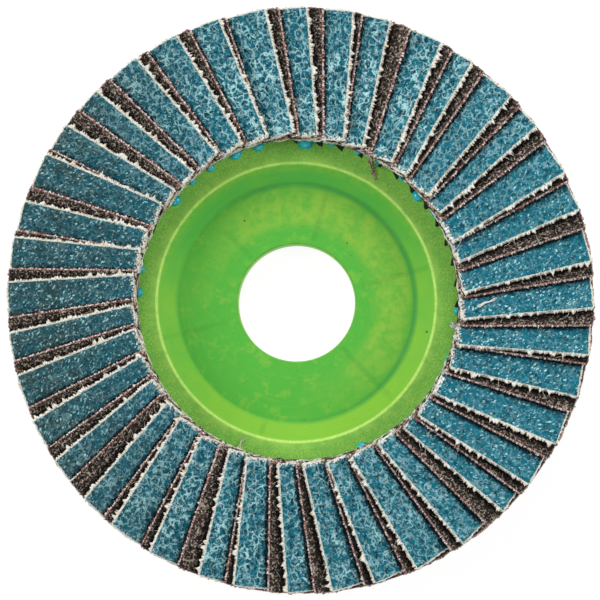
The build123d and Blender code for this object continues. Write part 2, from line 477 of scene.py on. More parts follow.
# %% A mesh made of patches that share their borders
class Patchwork:
    """Collects points and faces, with the cloth's own coordinates at face corners."""

    def __init__(self):
        self.points, self.grain, self.open_air, self.turns = [], [], [], []
        self.faces, self.corners, self.finishes = [], [], []
        self.count = 0
        self.turn = 0.0  # the clock angle of the flap being grown

    def add_points(self, points, grain=0.0, open_air=9.0):
        """Adds an array of points and returns their numbers, in the same shape."""
        shape = points.shape[:-1]
        self.points.append(points.reshape(-1, 3))
        self.grain.append(np.broadcast_to(grain, shape).ravel())
        self.open_air.append(np.broadcast_to(open_air, shape).ravel())
        self.turns.append(np.full(int(np.prod(shape)), self.turn))
        first, self.count = self.count, self.count + int(np.prod(shape))
        return np.arange(first, self.count).reshape(shape)

    def add_face(self, numbers, cloth, finish=0):
        self.faces.append(list(map(int, numbers)))
        self.corners.append(cloth)
        self.finishes.append(finish)

    def add_grid(self, numbers, cloth, finish=0):
        """Adds the faces of a grid, given its points' numbers and coordinates."""
        quads, places = (
            np.stack([a[:-1, :-1], a[1:, :-1], a[1:, 1:], a[:-1, 1:]], axis=2)
            for a in (numbers, cloth)
        )
        self.faces += quads.reshape(-1, 4).tolist()
        self.corners.append(places.reshape(-1, 3))
        self.finishes += [finish] * (quads.size // 4)

    def mesh(self, name, materials):
        made = bpy.data.meshes.new(name)
        points = np.concatenate(self.points) * MM
        made.from_pydata(points.tolist(), [], self.faces)
        for material in materials:
            made.materials.append(material)
        made.polygons.foreach_set("material_index", self.finishes)
        made.polygons.foreach_set("use_smooth", [True] * len(made.polygons))
        cloth = made.attributes.new("cloth", "FLOAT_VECTOR", "CORNER")
        cloth.data.foreach_set("vector", np.concatenate(self.corners).ravel())
        # Resin dust lies on one side of the disc, more of it toward the rim.
        points = np.concatenate(self.points)
        dust = np.clip((-points[:, 0] - 14) / 30, 0, 1)
        turns = np.concatenate(self.turns)
        found = {
            "grain": np.concatenate(self.grain),
            "open_air": np.concatenate(self.open_air),
            # How the light falls on each side of the disc, for the blue cloth's painted
            # highlights and its tone: 1 at +Y and -Y, 0 at +X and -X, a little less on the -Y
            # half.
            "lighting_by_side": 0.5 + 0.5 * np.cos(2 * turns) - 0.12 * (np.cos(turns) < 0),
            # How strong the painted crease shade is on each side of the disc: weakest at -X
            # and strongest at -Y.
            "crease_shade_by_side": 1.05 - 0.15 * np.cos(turns) + 0.35 * np.minimum(np.sin(turns), 0),
            "dust": dust,
        }
        for name, values in found.items():
            attribute = made.attributes.new(name, "FLOAT", "POINT")
            attribute.data.foreach_set("value", values)
        return made


def cloth_place(x, y, seed):
    """Cloth coordinates: along the flap, in from the cut, and the flap's own seed."""
    return points_at(x, y, float(seed))


# %% The face of a flap
UNDER_COVER = 1.0  # how far the fine grid runs on below the flap that covers it


def seen_width(slab, x):
    """How much of the flap, measured down its slope, the flap before it leaves free."""
    along = slab.place(points_at(x, 0.0, 0.0))
    return slab.cover.beyond_edge(along) / np.linalg.norm(slab.downhill[:2])


def grow_face(work, slab, kind, seed, rng):
    """Adds the seen part of a flap's face. Returns its points and their numbers."""
    share = np.linspace(0, 1, kind["columns"] + 1)
    wide = np.maximum(seen_width(slab, share * slab.length), 0.5) + UNDER_COVER
    y = np.outer(wide, np.linspace(0, 1, kind["rows"] + 1))
    first, last = coat_ends(slab, kind, y)
    x = first + share[:, None] * (last - first)
    x[-1] += rng.uniform(-0.3, 0.3, y.shape[1]) * kind["rim_chip"]
    x[0] += rng.uniform(-0.5, 0.5, y.shape[1]) * kind["inner_chip"]
    z = -0.1 * np.exp(-((y / 0.12) ** 2))  # the edge of the coat is rounded over
    y[:, 0] += yarn_reach(rng, x[:, 0], 0.3, 0.0, kind["chip"], 1.5)  # and chipped back
    face = points_at(x, y, z)
    inside = np.minimum(np.minimum(x - first, last - x) / 0.3, y / 0.3)
    placed = slab.place(face)
    open_air = slab.cover.beyond_edge(placed)
    numbers = work.add_points(placed, np.clip(inside, 0, 1), open_air)
    work.add_grid(numbers, cloth_place(x, y, seed))
    return face, numbers


# %% The rest of a flap: its edge all round, its hidden part and its back
def grow_flap(work, slab, kind, seed):
    """Adds one flap to a patchwork, lying where its slab lies."""
    rng = np.random.default_rng(seed)
    work.turn = slab.clock_angle()
    face, seen = grow_face(work, slab, kind, seed, rng)

    # The hidden part of both ends, outward end first, then back up the inner end.
    steps = np.arange(1, END_STEPS + 1) / END_STEPS
    ends = []
    for column, turn in ((-1, 1), (0, -1)):
        y = face[column, -1, 1] + (slab.width - face[column, -1, 1]) * steps[::turn]
        first, last = coat_ends(slab, kind, y)
        ends.append(points_at(last if turn > 0 else first, y, 0.0))
    hidden = np.concatenate(ends)
    hidden_numbers = work.add_points(slab.place(hidden), open_air=1.5)
    border = np.concatenate([seen[:, -1], hidden_numbers])
    border_xy = np.concatenate([face[:, -1], hidden])
    work.add_face(border, cloth_place(border_xy[:, 0], border_xy[:, 1], seed))

    # The whole edge, once round: free edge, outer end, glued edge, inner end.
    columns, rows = kind["columns"], kind["rows"]
    edge = [face[:, 0], face[-1, 1:], hidden, face[0, :0:-1]]
    numbers = np.concatenate(
        [seen[:, 0], seen[-1, 1:], hidden_numbers, seen[0, :0:-1]]
    )
    counts = [columns + 1, rows + END_STEPS, END_STEPS + rows]
    side = np.repeat([0, 1, 2], counts)  # free edge, outer end, inner end
    edge = np.concatenate(edge)
    around = np.concatenate([[0], np.linalg.norm(np.diff(edge, axis=0), axis=1)])
    around = np.cumsum(around)

    fringe = yarn_reach(rng, around, kind["yarn_pitch"], *kind["fringe"])
    coarse = yarn_reach(rng, around, 1.9 * kind["yarn_pitch"], 0.0, kind["tuft_reach"][0], 3.5)
    fringe = np.maximum(fringe * rng.uniform(0.6, 1.1, len(around)), coarse)
    fringe *= 0.88 + 0.16 * cos(work.turn)  # the fringe is longest at the top
    torn = tuft_reach(rng, around[side == 0], kind)
    fringe[side == 0] = np.maximum(fringe[side == 0], torn)
    short = yarn_reach(rng, around, kind["yarn_pitch"], *kind["end_fringe"])
    fringe = np.where(side == 0, fringe, short)
    out = np.outer(fringe, DEPTH_REACH) * rng.uniform(0.75, 1.25, (len(edge), 6))

    depth = slab.thickness * DEPTH_STEPS
    drop = np.outer(fringe, [0, 0, 0.1, 0.2, 0.12, 0]) * rng.random(out.shape)
    x, y = (np.repeat(edge[:, axis, None], len(depth), axis=1) for axis in (0, 1))
    rim = kind["rim_chip"] * (DEPTH_REACH - 1) - shortfall(slab, kind, y)
    inner = inner_end(slab, kind, y) + kind["inner_chip"] * (1 - DEPTH_REACH)
    x = np.where(side[:, None] == 1, slab.outer_end(y, -depth) + rim + out, x)
    x = np.where(side[:, None] == 2, inner - out, x)
    y = np.where(side[:, None] == 0, -out, y)
    wall = points_at(x, y, -(depth + drop))[:, 1:]
    # Patches of the inner end get the painted crease shade, as if they lay under a flap.
    patches = np.repeat(rng.uniform(0.2, 2.6, len(edge) // 5 + 1), 5)[: len(edge), None]
    open_air = np.where(side[:, None] == 2, patches, 9.0)
    rows_below = work.add_points(slab.place(wall), open_air=open_air)
    full = np.concatenate([numbers[:, None], rows_below], axis=1)
    full = np.concatenate([full, full[:1]])
    around = np.append(around, around[-1] + 0.2)
    work.add_grid(full.T, cloth_place(around[None, :], -depth[:, None], seed))

    # The underside, one polygon inside the wall's last row.
    bottom = cloth_place(wall[::-1, -1, 0], wall[::-1, -1, 1], seed)
    work.add_face(rows_below[::-1, -1], bottom, finish=1)
    grow_fibres(work, slab, kind, seed, rng, edge[side == 0])


# %% Loose fibres along the free edge
FIBRE_SIDES = 3
FIBRE_STEPS = 5


def add_fibre(work, path, radius, seed, depth):
    """Adds a thin closed tube along a path of points in the model's millimetres."""
    ahead = np.gradient(path, axis=0)
    ahead /= np.linalg.norm(ahead, axis=1, keepdims=True)
    aside = np.cross(ahead, (0.31, 0.52, 0.79))
    aside /= np.linalg.norm(aside, axis=1, keepdims=True)
    over = np.cross(ahead, aside)
    turns = np.arange(FIBRE_SIDES) * 2 * pi / FIBRE_SIDES
    thin = radius * np.linspace(1.0, 0.5, len(path))[:, None, None]
    ring = np.cos(turns)[:, None] * aside[:, None] + np.sin(turns)[:, None] * over[:, None]
    numbers = work.add_points(path[:, None] + thin * ring)
    closed = np.concatenate([numbers, numbers[:, :1]], axis=1)
    along = np.arange(len(path)) * 0.3
    place = cloth_place(along[:, None], -depth, seed)
    place = np.repeat(place, FIBRE_SIDES + 1, axis=1)
    work.add_grid(closed.T, place.transpose(1, 0, 2))
    for end in (numbers[0], numbers[-1][::-1]):
        work.add_face(end, place[0, :FIBRE_SIDES])


def grow_fibres(work, slab, kind, seed, rng, edge):
    """Adds a few loose fibres that curl out of the free edge."""
    for _ in range(kind["fibres"]):
        start = edge[int(rng.uniform(0.08, 0.85) * len(edge))] * (1, 0, 0)
        start = start + (0, 0, -slab.thickness * rng.uniform(0.4, 0.85))
        heading = np.array([rng.uniform(-0.8, 0.8), -1.0, rng.normal(0.05, 0.25)])
        bend = rng.uniform(-1, 1, 3) * (1, 0.5, 0.35)
        length = rng.uniform(0.6, 1.9)
        t = np.linspace(0, 1, FIBRE_STEPS)[:, None]
        path = start + length * (heading * t + bend * t**2) / np.linalg.norm(heading)
        path[:, 2] = np.maximum(path[:, 2], -slab.thickness)
        add_fibre(work, slab.place(path), rng.uniform(0.03, 0.055), seed, 0.4)


# %% [markdown]
# ## One pattern for shape and colour
#
# The blue cloth is covered in little ridges that join up like cracked mud, where the
# coat has gathered round its grains. Their crests get painted highlights. A bump map
# alone would leave the face flat from the side, and a painted pattern would not line up
# with it. So the pattern is written once, as nodes. A geometry nodes modifier lifts the
# mesh by it, and the cloth's material reads the same pattern for the painted highlights
# on its crests.

# %% The ridges of the blue cloth, 0 to 1
def ridges(make, place):
    """Worm-like ridges: the warped borders of cells, broken up by patches."""
    drift = make.vector("SUBTRACT", make.noise(place, 1.0)[1], (0.5, 0.5, 0.5))
    bent = make.vector("ADD", place, make.scaled(drift, 1.3))
    total = 0.0
    for scale, wide, strength, cut in ((0.75, 0.15, 1.0, 0.47), (1.4, 0.14, 0.6, 0.52)):
        border = make.cells(bent, scale, "DISTANCE_TO_EDGE")[0]
        line = make.ramp(border, 0.02, wide, strength, 0.0)
        shifted = make.vector("ADD", place, (7.3 * scale, 2.1, 5.7))
        patch = make.ramp(make.noise(shifted, 0.9 * scale)[0], cut - 0.05, cut + 0.05)
        total = make.math("MAXIMUM", total, make.times(line, patch))
    return total


# %% The grains of the brown cloth, 0 to 1
def grains(make, place):
    """Sharp grains of two sizes, packed side by side: cells that peak in the middle."""
    bent = make.vector("ADD", place, make.scaled(make.noise(place, 3.0)[1], 0.3))
    peak = make.ramp(make.cells(bent, 2.3)[0], 0.0, 0.62, 0.65, 0.0)
    chip = make.ramp(make.cells(bent, 4.4)[0], 0.0, 0.6, 0.35, 0.0)
    return make.math("ADD", peak, chip)


# %% A modifier that lifts the mesh by a pattern
def lifting_group(name, pattern, height, swell):
    """Geometry nodes that push a face out by a pattern and by a slow swell, in metres."""
    tree = bpy.data.node_groups.new(name, "GeometryNodeTree")
    tree.interface.new_socket("Mesh", in_out="INPUT", socket_type="NodeSocketGeometry")
    tree.interface.new_socket("Mesh", in_out="OUTPUT", socket_type="NodeSocketGeometry")
    make = Wiring(tree)
    start = make.node("NodeGroupInput")
    stored = "GeometryNodeInputNamedAttribute"
    place = make.node(stored, {"Name": "cloth"}, data_type="FLOAT_VECTOR").outputs[0]
    grain = make.node(stored, {"Name": "grain"}, data_type="FLOAT").outputs[0]
    slow = make.math("SUBTRACT", make.noise(place, 0.35)[0], 0.5)
    lift = make.times(pattern(make, place), height)
    lift = make.math("ADD", lift, make.times(slow, swell))
    lift = make.times(lift, grain)
    normal = make.node("GeometryNodeInputNormal").outputs[0]
    inputs = {"Geometry": start.outputs[0], "Offset": make.scaled(normal, lift)}
    moved = make.node("GeometryNodeSetPosition", inputs)
    make.node("NodeGroupOutput", {0: moved.outputs[0]})
    return tree


lifting = {
    "blue": lifting_group("lift_ridges", ridges, 0.13 * MM, 0.22 * MM),
    "brown": lifting_group("lift_grains", grains, 0.22 * MM, 0.2 * MM),
}
print("patterns that lift the mesh:", [tree.name for tree in lifting.values()])

# %% [markdown]
# ## The finish of the cloth
#
# One material covers a flap's face and its cut edge, because the change between them
# is ragged. The cloth's second coordinate is positive on the face and counts down into
# the cut, so a noisy threshold on it decides where the coat ends and bare yarn begins.
# The yarn of the blue cloth is cream cotton. The brown cloth's yarn is dyed red.

# %% Coat and yarn
COATS = {
    "blue": dict(deep=(0.001, 0.026, 0.043), plain=(0.005, 0.155, 0.22)),
    "brown": dict(deep=(0.002, 0.0015, 0.0015), plain=(0.034, 0.022, 0.017)),
}
CREST_HIGHLIGHT = (0.5, 0.85, 0.88)
DUST = (0.03, 0.05, 0.042)
GRAIN_LIGHT = (0.5, 0.42, 0.34)
CREASE_SHADES = {"blue": (0.001, 0.012, 0.018), "brown": (0.002, 0.001, 0.001)}
CREASE_SHADE_REACHES = {"blue": 1.1, "brown": 1.5}
THICKNESSES = {"blue": 1.15, "brown": 0.8}
YARNS = {
    "blue": dict(
        dark=(0.5, 0.41, 0.27),
        plain=(0.88, 0.84, 0.71),
        pale=(0.98, 0.97, 0.93),
        low_shade=(0.03, 0.022, 0.015),
    ),
    "brown": dict(
        dark=(0.05, 0.016, 0.013),
        plain=(0.34, 0.16, 0.13),
        pale=(1.0, 0.9, 0.85),
        low_shade=(0.02, 0.008, 0.007),
    ),
}


def painted(make, name):
    """A value that was stored with the points of the flaps."""
    return make.node("ShaderNodeAttribute", attribute_name=name).outputs["Fac"]


def cloth_place_in(make):
    """The cloth's own coordinates, as they were stored at the corners of its faces."""
    return make.node("ShaderNodeAttribute", attribute_name="cloth").outputs["Vector"]


def yarn_colour(make, place, colours):
    """Cut yarn ends: fine strands across the cut, some dark between them."""
    x, y, z = make.split(place)
    stretched = make.joined(x, make.times(y, 0.35), z)
    strands = make.noise(stretched, 2.6, detail=3.0, roughness=0.75)[0]
    colour = make.mix(make.ramp(strands, 0.36, 0.48), colours["dark"], colours["plain"])
    colour = make.mix(make.ramp(strands, 0.5, 0.57), colour, colours["pale"])
    # Painted shade lies low on the cut, in patches.
    low = make.ramp(y, -0.9, -0.25, 1.0, 0.0)
    patch = make.ramp(make.noise(place, 0.95, 3.0, 0.7)[0], 0.46, 0.54, 0.0, 0.9)
    return make.mix(make.times(low, patch), colour, colours["low_shade"]), strands


def coat_share(make, place, thickness):
    """1 on the coat and 0 on the yarn, with a ragged change just below the edge."""
    x, y, _ = make.split(place)
    ragged = make.math("SUBTRACT", make.noise(place, 2.6, 3.0)[0], 0.5)
    level = make.math("ADD", y, make.times(ragged, 0.35))
    share = make.ramp(level, -0.06 * thickness, 0.04)
    # The coat has also flaked off round the inner end.
    from_end = make.math("ADD", x, make.times(ragged, 3.2))
    return make.times(share, make.ramp(from_end, 0.4, 0.8))


def in_the_crease(make, place, colour, crease, reach):
    """Paints shade on the cloth in the crease against the flap that covers it."""
    clean_end = make.ramp(make.split(place)[0], 0.5, 1.8, 1.2, 0.0)
    reach = make.times(painted(make, "crease_shade_by_side"), reach)
    ragged = make.math("SUBTRACT", make.noise(place, 1.8, 4.0, 0.6)[0], 0.5)
    ragged = make.times(ragged, 1.8)
    level = make.math("ADD", make.math("DIVIDE", painted(make, "open_air"), reach), ragged)
    level = make.math("ADD", level, clean_end)
    return make.mix(make.ramp(level, 0.55, 1.05, 0.96, 0.0), colour, crease)


def finish_cloth(make, place, kind, colour, height, depth, roughness, **constants):
    """Adds the cut yarn and the painted crease shade to a coat, and ends the material."""
    yarn, strands = yarn_colour(make, place, YARNS[kind])
    share = coat_share(make, place, THICKNESSES[kind])
    colour = make.mix(share, yarn, colour)
    colour = in_the_crease(make, place, colour, CREASE_SHADES[kind], CREASE_SHADE_REACHES[kind])
    height = make.blend(share, strands, height)
    finish_surface(make, colour, height, depth, roughness, **constants)


# %% The blue cloth
blue_material, make = new_material("blue_abrasive_cloth")
place = cloth_place_in(make)
lighting_by_side = painted(make, "lighting_by_side")
webs = ridges(make, place)
fine = make.noise(place, 2.2, detail=4.0, roughness=0.7)[0]
broad = make.noise(place, 1.1, detail=3.0, roughness=0.6)[0]
slow = make.noise(place, 0.22)[0]
dusted = painted(make, "dust")
coat = COATS["blue"]
# The coat's tone also changes with the side of the disc, by the same painted lighting.
smooth = make.ramp(broad, make.ramp(lighting_by_side, 0.0, 1.0, 0.25, 0.34), 0.58)
granular = make.ramp(fine, 0.4, 0.56)
tone = make.blend(make.times(dusted, 0.8), smooth, granular)
colour = make.mix(tone, coat["deep"], coat["plain"])
dusty = make.ramp(make.noise(place, 0.35, 3.0)[0], 0.3, 0.7, 0.3, 0.8)
colour = make.mix(make.times(dusted, dusty), colour, DUST)

# The pale webs, dashes and sparkles on the crests are painted highlights. Which of them shows
# depends on how the light falls on each side of the disc.
bent = make.vector("ADD", place, make.scaled(make.noise(place, 0.8)[1], 1.2))
along, inward, seed = make.split(bent)
slant = make.times(make.math("ADD", along, inward), 0.6)
across = make.times(make.math("SUBTRACT", inward, along), 1.3)
dash = make.ramp(make.cells(make.joined(slant, across, seed), 0.95)[0], 0.18, 0.33, 1.0, 0.0)
dash = make.times(dash, make.ramp(make.noise(place, 1.3)[0], 0.34, 0.44))
sparkle = make.ramp(make.cells(place, 1.9)[0], 0.16, 0.3, 1.0, 0.0)
sparkle = make.times(sparkle, make.ramp(make.noise(place, 1.6)[0], 0.45, 0.52))
web_share = make.times(webs, make.ramp(lighting_by_side, 0.0, 1.0, 0.2, 1.0))
dash_share = make.times(dash, make.ramp(lighting_by_side, 0.0, 1.0, 1.0, 0.4))
sparkle_share = make.times(sparkle, make.ramp(lighting_by_side, 0.0, 1.0, 0.85, 0.1))
spots = make.math("MAXIMUM", dash_share, sparkle_share)
crest_highlights = make.math("MAXIMUM", web_share, spots)
relief = make.math("MAXIMUM", web_share, make.times(spots, 0.35))
bead = make.ramp(make.noise(place, 2.4, 3.0, 0.7)[0], 0.35, 0.55, 0.5, 1.0)
even = make.ramp(slow, 0.35, 0.65, 0.6, 1.0)
colour = make.mix(make.times(crest_highlights, bead, even), colour, CREST_HIGHLIGHT)
height = make.math("ADD", make.times(relief, 0.7), make.times(fine, 0.3))
finish_cloth(make, place, "blue", colour, height, 0.14 * MM, 0.7, Specular_IOR_Level=0.12)

# %% The brown cloth
brown_material, make = new_material("brown_abrasive_cloth")
place = cloth_place_in(make)
peaks = grains(make, place)
bent = make.vector("ADD", place, make.scaled(make.noise(place, 3.0)[1], 0.35))
tone = make.split(make.cells(bent, 2.0)["Color"])[0]
rings = make.ramp(make.cells(bent, 1.3, "DISTANCE_TO_EDGE")[0], 0.03, 0.16, 1.0, 0.0)
fine = make.noise(place, 2.2, detail=3.0, roughness=0.75)[0]
coat = COATS["brown"]
colour = make.mix(make.ramp(tone, 0.35, 0.6), coat["deep"], coat["plain"])
light = make.math("MAXIMUM", make.ramp(tone, 0.78, 0.86), make.times(rings, 0.8))
light = make.times(light, make.ramp(fine, 0.5, 0.56))
colour = make.mix(light, colour, GRAIN_LIGHT)
height = make.math("ADD", make.times(peaks, 0.7), make.times(fine, 0.4))
finish_cloth(make, place, "brown", colour, height, 0.16 * MM, 0.6, Specular_IOR_Level=0.15)


# %% The woven back of the cloth
def woven_back(name, thread, gap, pitch):
    """A plain weave: two sets of threads that pass over each other in turn."""
    material, make = new_material(name)
    place = cloth_place_in(make)
    phases = (make.times(axis, pi / pitch) for axis in make.split(place)[:2])
    waves = [make.math("SINE", phase) for phase in phases]
    across, along = (make.math("ABSOLUTE", wave) for wave in waves)
    weave = make.blend(make.ramp(make.times(*waves), -0.2, 0.2), across, along)
    fibres = make.noise(place, 6.0, detail=3.0)[0]
    height = make.math("ADD", weave, make.times(fibres, 0.5))
    colour = make.mix(make.ramp(height, 0.25, 1.1), gap, thread)
    finish_surface(make, colour, height, 0.1 * MM, 0.8)
    return material


blue_back = woven_back("cotton_back", (0.55, 0.52, 0.43), (0.2, 0.18, 0.14), 0.52)
brown_back = woven_back("red_cotton_back", (0.26, 0.13, 0.1), (0.06, 0.025, 0.02), 0.42)

# %% Grow the flaps
materials = {"blue": (blue_material, blue_back), "brown": (brown_material, brown_back)}
print("cloth materials:", [face.name for pair in materials.values() for face in pair])
cloth_pieces = []
seed = 0
for kind_name, nodes in (("blue", blue_nodes), ("brown", brown_nodes)):
    for node in nodes:
        work = Patchwork()
        for slab in slabs[node]:
            seed += 1
            grow_flap(work, slab, KINDS[kind_name], seed)
        mesh = work.mesh("cloth_" + node, materials[kind_name])
        piece = add_object("cloth_" + node, mesh)
        modifier = piece.modifiers.new("lift", "NODES")
        modifier.node_group = lifting[kind_name]
        cloth_pieces.append((piece, node, kind_name + "_abrasive"))
print("flap pieces:", len(cloth_pieces))

# %% Settle the lifted meshes and hand them to the frame
graph = bpy.context.evaluated_depsgraph_get()
faces = 0
for piece, node, slot in cloth_pieces:
    lifted = bpy.data.meshes.new_from_object(piece.evaluated_get(graph))
    lifted.set_sharp_from_angle(angle=radians(60))
    piece.modifiers.clear()
    piece.data = lifted
    faces += sum(len(polygon.vertices) - 2 for polygon in lifted.polygons)
    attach(piece, "root")
    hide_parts(node)
print("triangles in all flaps:", faces)

# %% [markdown]
# ## The moulded plate
#
# The plate is green plastic that lets a little light through, so it is never one even
# colour. Much of that is painted light and shade: the floor is yellower where light comes
# through, the ribs behind it show as faint dark spokes of painted shade, and the soft rim
# of the dish gets a painted highlight. Its shape in the CAD model is already right, so it
# keeps that mesh, and nodes lay these tones out by radius and by angle.

# %% Where the plate's zones lie, in millimetres and degrees, and their colours
FAN_CENTRE = (0.45, 0.27)  # the middle of the ring of flaps
BORE_RADIUS = 11.15
FLOOR_RADIUS = 22.3  # where the slope begins
DISH_RADIUS = 26.3  # where the slope meets the flat land
LAND_HEIGHT = 8.7
FLAP_EDGE = 30.4  # where the flaps' inner ends lie, from the middle of the fan
SPOKE_ANGLES = [15 + 60 * number for number in range(6)]
SPOKE_ENDS = (12.5, 25.5)
GAP_PITCH, FIRST_GAP, LAST_GAP = 7.6, -4.5, 99
SPECKS = [(-9.9, 15.7, 0.2), (9.6, 11.4, 0.16), (17.5, 22.4, 0.13), (24.7, -5.6, 0.22)]

FLOOR_GREEN, FLOOR_YELLOW = (0.09, 0.46, 0.05), (0.27, 0.55, 0.06)
SLOPE_GREEN, SLOPE_DARK = (0.26, 0.58, 0.05), (0.1, 0.5, 0.07)
LAND_GREEN, LAND_YELLOW = (0.16, 0.49, 0.065), (0.46, 0.76, 0.13)
FOOT_SHADE = (0.035, 0.3, 0.07)
RIM_LIGHT, BORE_LIGHT = (0.6, 0.92, 0.2), (0.4, 0.66, 0.15)
SPOKE_GREEN, SPECK_DARK = (0.03, 0.25, 0.03), (0.01, 0.05, 0.01)
CRUMB_DARK, GAP_SHADE = (0.02, 0.1, 0.02), (0.004, 0.008, 0.004)


# %% Masks by radius, by angle and along a line
def polar(make, x, y, centre=(0, 0)):
    """Radius in millimetres and clock angle in degrees about a centre."""
    x, y = (make.math("SUBTRACT", value, c) for value, c in zip((x, y), centre))
    squares = (make.times(value, value) for value in (x, y))
    radius = make.math("SQRT", make.math("ADD", *squares))
    return radius, make.times(make.math("ARCTAN2", x, y), 180 / pi)


def stroke(make, x, y, start, end, width):
    """1 on a straight line between two places and 0 away from it."""
    dx, dy = end[0] - start[0], end[1] - start[1]
    x, y = (make.math("SUBTRACT", value, c) for value, c in zip((x, y), start))
    along = make.math("ADD", make.times(x, dx), make.times(y, dy))
    along = make.math("DIVIDE", along, dx * dx + dy * dy, clamp=True)
    x = make.math("SUBTRACT", x, make.times(along, dx))
    y = make.math("SUBTRACT", y, make.times(along, dy))
    return make.ramp(polar(make, x, y)[0], 0.3 * width, width, 1.0, 0.0)


def leaning(make, angle, cloud, toward, spread):
    """1 on the side of a clock angle and 0 on the other, shifted by the clouds."""
    off = make.times(make.math("SUBTRACT", angle, toward), pi / 180)
    lean = make.math("ADD", make.math("COSINE", off), make.times(cloud, 3.0))
    return make.ramp(lean, 1.5 - spread, 1.5 + spread)


def band(make, radius, inner, outer, fade):
    """1 between two radii, fading to 0 over a distance either side."""
    rise = make.ramp(radius, inner - fade, inner)
    return make.times(rise, make.ramp(radius, outer, outer + fade, 1.0, 0.0))


# %% The patterns of the plastic
plate_material, make = new_material("green_moulded_plastic")
place = make.model_place()
x, y, z = make.split(place)
radius, angle = polar(make, x, y)
cloud = make.noise(place, 0.11, detail=3.0)[0]
mottle = make.noise(place, 0.5, detail=4.0, roughness=0.6)[0]
speckle = make.noise(place, 3.2, detail=2.0, roughness=0.7)[0]
cloudy = make.ramp(mottle, 0.35, 0.62, 0.35, 1.0)
streaks = make.joined(make.times(radius, 2.2), make.times(angle, 0.05), 0.0)
streaks = make.noise(streaks, 1.0, detail=3.0)[0]

# %% The floor, the slope and the flat land
floor_band = band(make, radius, 16.5, 20.5, 3.0)
# The floor is painted yellower toward +X and +Y, as light that comes through the plastic, and
# in random patches.
yellow = make.times(leaning(make, angle, cloud, 40, 0.9), floor_band, cloudy)
yellow = make.math("MAXIMUM", yellow, make.ramp(mottle, 0.5, 0.68, 0.0, 0.45))
floor_colour = make.mix(yellow, FLOOR_GREEN, FLOOR_YELLOW)

# The slope is painted lighter toward -Y and near the rim, and darker toward +Y: painted light
# and shade.
toward_rim = make.ramp(radius, DISH_RADIUS - 2.3, DISH_RADIUS, 0.0, 0.75)
lit = leaning(make, angle, cloud, 170, 1.2)
lit = make.math("MAXIMUM", lit, make.times(toward_rim, cloudy))
slope_colour = make.mix(lit, SLOPE_DARK, SLOPE_GREEN)

grainy = make.ramp(speckle, 0.38, 0.6)
grainy = make.times(grainy, make.ramp(mottle, 0.3, 0.6, 0.35, 1.0), 0.62)
near_rim = make.ramp(radius, DISH_RADIUS + 0.5, DISH_RADIUS + 2.3, 0.6, 0.0)
pale_land = make.math("MAXIMUM", grainy, make.times(near_rim, cloudy))
land_colour = make.mix(pale_land, LAND_GREEN, LAND_YELLOW)

# %% One zone after another, from the floor outward
on_slope = make.ramp(radius, FLOOR_RADIUS, FLOOR_RADIUS + 1)
colour = make.mix(on_slope, floor_colour, slope_colour)
# A ring of painted shade at the foot of the slope, toward +X and +Y.
foot_shade = make.times(
    band(make, radius, FLOOR_RADIUS + 0.2, FLOOR_RADIUS + 0.4, 0.8),
    leaning(make, angle, cloud, 60, 0.9),
    0.6,
)
colour = make.mix(foot_shade, colour, FOOT_SHADE)
beyond_dish = make.ramp(radius, DISH_RADIUS, DISH_RADIUS + 0.5)
colour = make.mix(beyond_dish, colour, land_colour)
# A painted highlight along the soft rim of the dish.
rim_line = make.times(
    band(make, radius, DISH_RADIUS + 0.05, DISH_RADIUS + 0.2, 0.35),
    make.ramp(speckle, 0.3, 0.55, 0.5, 1.0),
    make.ramp(mottle, 0.3, 0.5, 0.55, 1.0),
)
colour = make.mix(rim_line, colour, RIM_LIGHT)
colour = make.mix(make.ramp(streaks, 0.5, 0.75, 0.0, 0.18), colour, FLOOR_YELLOW)
colour = make.mix(make.ramp(streaks, 0.48, 0.3, 0.0, 0.18), colour, SLOPE_DARK)

# %% Faint spokes and specks on the plastic
# The spokes are painted shade where the ribs behind the plastic show through.
spokes = 0.0
for spoke in SPOKE_ANGLES:
    turn = radians(spoke)
    start, end = ([r * sin(turn), r * cos(turn)] for r in SPOKE_ENDS)
    spokes = make.math("MAXIMUM", spokes, stroke(make, x, y, start, end, 0.8))
spokes = make.times(spokes, make.ramp(cloud, 0.42, 0.56, 0.0, 0.22))
colour = make.mix(spokes, colour, SPOKE_GREEN)
for speck_x, speck_y, size in SPECKS:
    spot = polar(make, x, y, (speck_x, speck_y))[0]
    spot = make.ramp(spot, 0.5 * size, 1.5 * size, 0.8, 0.0)
    colour = make.mix(spot, colour, SPECK_DARK)
CRUMB_SCALE = 0.45
crumbs = make.times(make.cells(place, CRUMB_SCALE)[0], 1 / CRUMB_SCALE)
colour = make.mix(make.ramp(crumbs, 0.06, 0.16, 0.55, 0.0), colour, CRUMB_DARK)

# %% Painted shade in the gaps under the flaps' inner ends, each widening clockwise
fan_radius, fan_angle = polar(make, x, y, FAN_CENTRE)
tooth = make.math("DIVIDE", make.math("SUBTRACT", fan_angle, FIRST_GAP), GAP_PITCH)
tooth = make.math("SUBTRACT", tooth, make.math("FLOOR", tooth))
widening = make.times(
    make.ramp(tooth, 0.1, 0.72),
    make.ramp(tooth, 0.74, 0.79, 1.0, 0.0),
    make.ramp(fan_angle, FIRST_GAP, FIRST_GAP + 1),
    make.ramp(fan_angle, LAST_GAP, LAST_GAP + 1, 1.0, 0.0),
)
edge = make.math("SUBTRACT", FLAP_EDGE + 0.2, make.times(widening, 1.15))
edge = make.math("ADD", edge, make.times(make.math("SUBTRACT", speckle, 0.5), 0.5))
inside = make.math("SUBTRACT", fan_radius, edge)
on_land = make.ramp(z, LAND_HEIGHT - 0.3, LAND_HEIGHT - 0.1)
under_flaps = make.ramp(fan_radius, 31.5, 32.0, 1.0, 0.0)
gap = make.times(make.ramp(inside, 0.0, 0.15), under_flaps, on_land)
colour = make.mix(gap, colour, GAP_SHADE)

